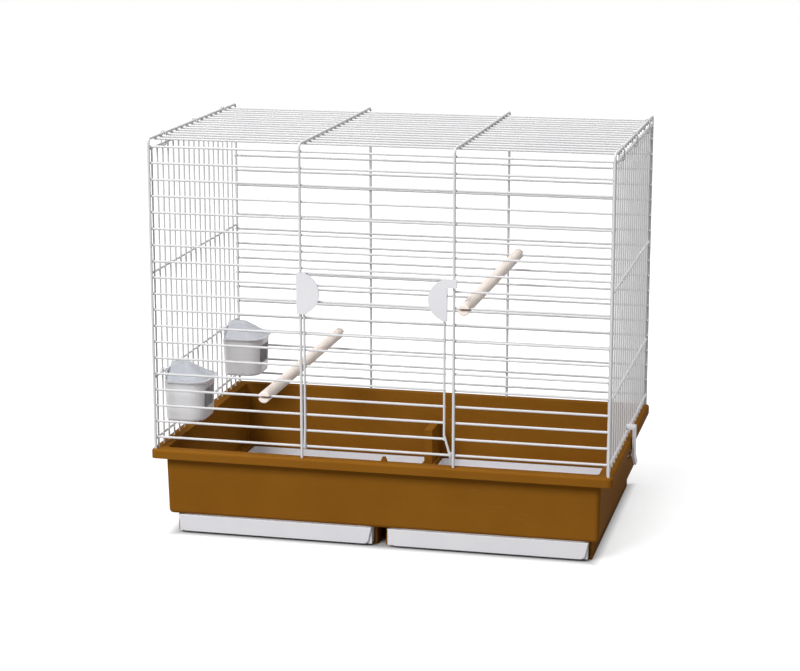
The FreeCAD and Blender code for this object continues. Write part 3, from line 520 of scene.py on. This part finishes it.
def dress(material: bpy.types.Material, *nodes: str) -> None:
    """Gives CAD nodes a material.

    Args:
        material: The material.
        nodes: The nodes' names.
    """
    for name in nodes:
        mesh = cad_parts[name].data
        mesh.materials.clear()
        mesh.materials.append(material)
        LOG.info("%s wears %s", name, material.name)


@dataclass
class Beads:
    """Small rounded lumps of coated metal: the welds of crossed wires, or the tips of cut ones."""

    name: str
    body: Body
    half_sizes: Point
    places: list[Point]
    segments: int = 8
    rings: int = 5

    def build(self, material: bpy.types.Material) -> None:
        """Makes one mesh of all the lumps.

        Args:
            material: The wire's coat.
        """
        shape = bmesh.new()
        size = Matrix.Diagonal((*self.half_sizes, 1.0))
        for place in self.places:
            bmesh.ops.create_uvsphere(
                shape, u_segments=self.segments, v_segments=self.rings, radius=1.0,
                matrix=Matrix.Translation(place) @ size)
        for face in shape.faces:
            face.smooth = True
        mesh = bpy.data.meshes.new(self.name)
        shape.to_mesh(mesh)
        shape.free()
        mesh.materials.append(material)
        piece = bpy.data.objects.new(self.name, mesh)
        bpy.context.scene.collection.objects.link(piece)
        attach(piece, self.body.value)
        LOG.info("%s: %d lumps on %s", self.name, len(self.places), self.body.value)


@dataclass
class WireTop:
    """The welded wire panels above the base: front, back, roof and two sides, with their ties."""

    panels: tuple[str, ...] = ("front_panel", "back_panel", "roof_panel", "left_panel",
                               "right_panel", "left_ties", "right_ties")
    row_pitch: float = 0.0175
    post_xs: tuple[float, ...] = (-0.2455, -0.082, 0.082, 0.2455)
    row_y: float = 0.151
    post_y: float = 0.1534
    first_row: float = 0.109
    row_count: int = 19
    row_end: float = 0.2465
    row_radius: float = 0.0013
    roof_row_z: float = 0.4296
    roof_cross_z: float = 0.432
    side_x: float = 0.24365
    bar_x: float = 0.2455
    side_edge: float = 0.14845
    side_count: int = 18
    side_top: float = 0.42275
    side_radius: float = 0.001
    bar_zs: tuple[float, ...] = (0.1075, 0.175, 0.289, 0.4215)
    tip_bulge: float = 0.8
    face_weld: Point = (0.0019, 0.0012, 0.0017)
    roof_weld: Point = (0.0019, 0.0017, 0.0012)
    side_weld: Point = (0.0011, 0.0014, 0.0016)

    def rows(self) -> list[float]:
        """Returns the heights of the front and back rows."""
        return [self.first_row + self.row_pitch * k for k in range(self.row_count)]

    def row_ends(self) -> tuple[float, float]:
        """Returns the places of a row's two ends, left to right."""
        return -self.row_end, self.row_end

    def row_tip(self) -> Point:
        """Returns the half sizes of a row's coated tip."""
        return self.row_radius * self.tip_bulge, self.row_radius, self.row_radius

    def uprights(self) -> list[float]:
        """Returns the places of a side's upright wires, front to back."""
        pitch = 2.0 * self.side_edge / (self.side_count - 1)
        return [pitch * k - self.side_edge for k in range(self.side_count)]

    def roof_rows(self) -> list[float]:
        """Returns the places of the roof's rows, in line with all uprights but the outer two."""
        return self.uprights()[1:-1]

    def face_welds(self, side: Side) -> Beads:
        """Returns the welds of the front or the back.

        Args:
            side: The front or the back.

        Returns:
            A lump for each place where a row crosses a post.
        """
        depth = side.sign * (self.row_y + self.post_y) / 2
        places = [(x, depth, z) for x in self.post_xs for z in self.rows()]
        return Beads(f"{side.value}_welds", Body.CAGE, self.face_weld, places)

    def face_tips(self, side: Side) -> Beads:
        """Returns the coated tips of the front's or the back's rows.

        Args:
            side: The front or the back.

        Returns:
            A lump for each end of each row.
        """
        depth = side.sign * self.row_y
        places = [(x, depth, z) for x in self.row_ends() for z in self.rows()]
        return Beads(f"{side.value}_tips", Body.CAGE, self.row_tip(), places)

    def roof_welds(self) -> Beads:
        """Returns a lump for each place where a roof row crosses a cross wire."""
        height = (self.roof_row_z + self.roof_cross_z) / 2
        places = [(x, y, height) for x in self.post_xs for y in self.roof_rows()]
        return Beads("roof_welds", Body.CAGE, self.roof_weld, places)

    def roof_tips(self) -> Beads:
        """Returns a lump for each end of each roof row."""
        places = [(x, y, self.roof_row_z) for x in self.row_ends() for y in self.roof_rows()]
        return Beads("roof_tips", Body.CAGE, self.row_tip(), places)

    def side_welds(self, side: Side) -> Beads:
        """Returns the welds of one side panel.

        Args:
            side: The left or the right.

        Returns:
            A lump for each place where an upright crosses a bar.
        """
        across = side.sign * (self.side_x + self.bar_x) / 2
        places = [(across, y, z) for y in self.uprights() for z in self.bar_zs]
        return Beads(f"{side.value}_welds", Body.CAGE, self.side_weld, places)

    def side_tips(self, side: Side) -> Beads:
        """Returns the coated tips of one side panel's uprights.

        Args:
            side: The left or the right.

        Returns:
            A lump for the top of each upright.
        """
        places = [(side.sign * self.side_x, y, self.side_top) for y in self.uprights()]
        half_sizes = (self.side_radius, self.side_radius, self.side_radius * self.tip_bulge)
        return Beads(f"{side.value}_tips", Body.CAGE, half_sizes, places)

    def build(self, coat: bpy.types.Material) -> None:
        """Dresses the panels and adds their welds and tips.

        Args:
            coat: The wire's coat.
        """
        dress(coat, *self.panels)
        for side in (Side.FRONT, Side.BACK):
            self.face_welds(side).build(coat)
            self.face_tips(side).build(coat)
        self.roof_welds().build(coat)
        self.roof_tips().build(coat)
        for side in (Side.LEFT, Side.RIGHT):
            self.side_welds(side).build(coat)
            self.side_tips(side).build(coat)


@dataclass
class Door:
    """The wire door with its half-moon catches."""

    catches: tuple[str, ...] = ("door_catch_left", "door_catch_right")
    side_xs: tuple[float, float] = (-0.078, 0.0723)
    weld_y: float = -0.1528
    first_row: float = 0.1265
    pitch: float = 0.0175
    row_count: int = 10
    weld: Point = (0.0016, 0.0011, 0.0017)

    def welds(self) -> Beads:
        """Returns a lump for each place where a door row crosses a side wire."""
        heights = [self.first_row + self.pitch * k for k in range(self.row_count)]
        places = [(x, self.weld_y, z) for x in self.side_xs for z in heights]
        return Beads("door_welds", Body.DOOR, self.weld, places)

    def build(self, coat: bpy.types.Material, white: bpy.types.Material) -> None:
        """Dresses the door and its catches and adds the door's welds.

        Args:
            coat: The wire's coat.
            white: The catches' plastic.
        """
        dress(coat, "door")
        dress(white, *self.catches)
        self.welds().build(coat)


@dataclass
class Base:
    """The brown moulded base with its white drawers and side clips."""

    drawers: tuple[str, ...] = ("drawer_left", "drawer_right")
    clips: tuple[str, ...] = ("clip_left", "clip_right")

    def build(self, brown: bpy.types.Material, white: bpy.types.Material) -> None:
        """Dresses the base, the drawers and the clips.

        Args:
            brown: The base's plastic.
            white: The drawers' and clips' plastic.
        """
        dress(brown, "base")
        dress(white, *self.drawers, *self.clips)


@dataclass
class Feeders:
    """The two hooded feeders on the left side."""

    cups: tuple[str, ...] = ("feeder_front_cup", "feeder_back_cup")
    hoods: tuple[str, ...] = ("feeder_front_hood", "feeder_back_hood")

    def build(self, cup: bpy.types.Material, hood: bpy.types.Material) -> None:
        """Dresses the cups and their hoods.

        Args:
            cup: The cups' plastic.
            hood: The hoods' plastic.
        """
        dress(cup, *self.cups)
        dress(hood, *self.hoods)


@dataclass
class Perches:
    """The two wooden dowels."""

    names: tuple[str, ...] = ("perch_left", "perch_right")
    tone: Colour = (0.93, 0.84, 0.775)
    other_tone: Colour = (0.85, 0.735, 0.66)
    roughness: float = 0.55
    shine: float = 0.3

    def build(self) -> None:
        """Dresses each dowel with its grain centred on its own line."""
        for name in self.names:
            low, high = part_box(name)
            wood = DowelWood(
                name=f"{name}_wood", tone=self.tone, other_tone=self.other_tone,
                roughness=self.roughness, shine=self.shine, centre=tuple((low + high) / 2))
            dress(wood.material(), name)


@dataclass(frozen=True)
class Lamp:
    """A soft square lamp that points at the cage."""

    name: str
    place: Point
    width: float
    power: float
    aim: Point = (0.0, 0.0, 0.2)

    def build(self) -> None:
        """Hangs the lamp and turns it to its aim."""
        light = bpy.data.lights.new(self.name, "AREA")
        light.shape = "SQUARE"
        light.size = self.width
        light.energy = self.power
        lamp = bpy.data.objects.new(self.name, light)
        lamp.location = self.place
        beam = Vector(self.aim) - Vector(self.place)
        lamp.rotation_euler = beam.to_track_quat("-Z", "Y").to_euler()
        bpy.context.scene.collection.objects.link(lamp)


@dataclass
class Studio:
    """The floor, the lights and the camera at the photograph's place."""

    camera_place: Point = (0.54439, -2.37955, 0.75878)
    camera_down: float = 12.897
    camera_left: float = 13.135
    lens: float = 101.61
    sensor: float = 36.0
    clip_near: float = 0.05
    clip_far: float = 50.0
    floor_half: float = 4.0
    floor_shade: float = 0.42
    floor_glow: float = 0.7
    # These two set where the floor's glow rises out of the painted contact shadow under the base.
    painted_shadow_fade_from: float = -0.004
    painted_shadow_fade_by: float = 0.012
    white_from: float = 0.1
    white_by: float = 0.6
    # These two inset the painted contact shadow from the base's sides and its front.
    painted_shadow_side_inset: float = 0.024
    painted_shadow_front_inset: float = 0.014
    sky: float = 0.2
    lamps: tuple[Lamp, ...] = (Lamp("key", (-1.4, -3.1, 2.9), 1.8, 164.0),
                               Lamp("top", (0.1, -0.3, 3.2), 1.8, 62.0))

    def seen(self, work: Tree) -> Socket:
        """Returns a mask of the rays that show the white surroundings.

        Args:
            work: The tree that needs the mask.

        Returns:
            1 for rays from the eye, from a gloss or through glass, and 0 for others.
        """
        path = work.add("ShaderNodeLightPath").outputs
        plain = work.math("MAXIMUM", path["Is Camera Ray"], path["Is Glossy Ray"])
        return work.math("MAXIMUM", plain, path["Is Transmission Ray"])

    def glow(self, work: Tree) -> Socket:
        """Returns how much white the floor shows to the eye, cut to 0 under the base as a painted
        contact shadow.

        Args:
            work: The floor material's tree.

        Returns:
            0 under the base, where it paints a shadow, the floor's glow beside it and 1 further
            away.
        """
        base_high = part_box("base")[1]
        place = work.add("ShaderNodeTexCoord").outputs["Object"]
        parts = work.add("ShaderNodeSeparateXYZ", {"Vector": place})
        across = work.math("ABSOLUTE", parts.outputs["X"])
        beside = work.math("SUBTRACT", across, base_high.x - self.painted_shadow_side_inset)
        along = work.math("ABSOLUTE", parts.outputs["Y"])
        before = work.math("SUBTRACT", along, base_high.y - self.painted_shadow_front_inset)
        reach = work.math("MAXIMUM", beside, before)
        # Painted contact shadow: the glow is 0 under the base's footprint and rises to the floor's
        # glow just beside it.
        glow_with_painted_shadow = work.ramp(reach, self.painted_shadow_fade_from, self.painted_shadow_fade_by, 0.0, self.floor_glow)
        far = work.ramp(reach, self.white_from, self.white_by, 0.0, 1.0 - self.floor_glow)
        return work.math("MULTIPLY", self.seen(work), work.math("ADD", glow_with_painted_shadow, far))

    def floor(self) -> None:
        """Makes the pale floor: white to the eye away from the cage, with the cage's real shadow
        beside it and a painted shadow under the base, where its glow is cut.
        """
        mesh = bpy.data.meshes.new("floor")
        shape = bmesh.new()
        bmesh.ops.create_grid(shape, x_segments=1, y_segments=1, size=self.floor_half)
        shape.to_mesh(mesh)
        shape.free()
        floor = bpy.data.objects.new("floor", mesh)
        bpy.context.scene.collection.objects.link(floor)
        material = bpy.data.materials.new("pale_floor")
        material.use_nodes = True
        material.node_tree.nodes.clear()
        work = Tree(material.node_tree)
        shade = (self.floor_shade, self.floor_shade, self.floor_shade)
        matt = work.add("ShaderNodeBsdfDiffuse", {"Color": shade})
        light = work.add("ShaderNodeEmission", {"Color": PURE_WHITE, "Strength": self.glow(work)})
        both = work.add("ShaderNodeAddShader")
        work.feed(both.inputs[0], matt.outputs["BSDF"])
        work.feed(both.inputs[1], light.outputs["Emission"])
        end = work.add("ShaderNodeOutputMaterial")
        work.feed(end.inputs["Surface"], both.outputs["Shader"])
        mesh.materials.append(material)
        LOG.info("floor lies under the cage")

    def world(self) -> None:
        """Makes the white surroundings: white to the eye, dimmer as light."""
        world = bpy.data.worlds.new("white_room")
        bpy.context.scene.world = world
        world.use_nodes = True
        world.node_tree.nodes.clear()
        work = Tree(world.node_tree)
        strength = work.ramp(self.seen(work), 0.0, 1.0, self.sky, 1.0)
        sky = work.add("ShaderNodeBackground", {"Color": PURE_WHITE, "Strength": strength})
        end = work.add("ShaderNodeOutputWorld")
        work.feed(end.inputs["Surface"], sky.outputs["Background"])

    def camera(self) -> None:
        """Adds the camera that looks as the photograph's did."""
        lens = bpy.data.cameras.new("camera")
        lens.lens = self.lens
        lens.sensor_width = self.sensor
        lens.clip_start = self.clip_near
        lens.clip_end = self.clip_far
        camera = bpy.data.objects.new("camera", lens)
        camera.location = self.camera_place
        tilt = math.radians(90.0 - self.camera_down)
        camera.rotation_euler = (tilt, 0.0, math.radians(self.camera_left))
        bpy.context.scene.collection.objects.link(camera)
        bpy.context.scene.camera = camera

    def build(self) -> None:
        """Sets the whole studio."""
        self.camera()
        self.world()
        self.floor()
        for lamp in self.lamps:
            lamp.build()
        bpy.context.scene.view_settings.view_transform = "Standard"


def main() -> None:
    """Builds and dresses every piece in order."""
    logging.basicConfig(level=logging.INFO, format="%(message)s")
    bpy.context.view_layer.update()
    coat = COAT.material()
    white = WHITE.material()
    Studio().build()
    WireTop().build(coat)
    Door().build(coat, white)
    Base().build(BROWN.material(), white)
    Feeders().build(CUP.material(), HOOD.material())
    Perches().build()


if __name__ == "__main__":
    main()
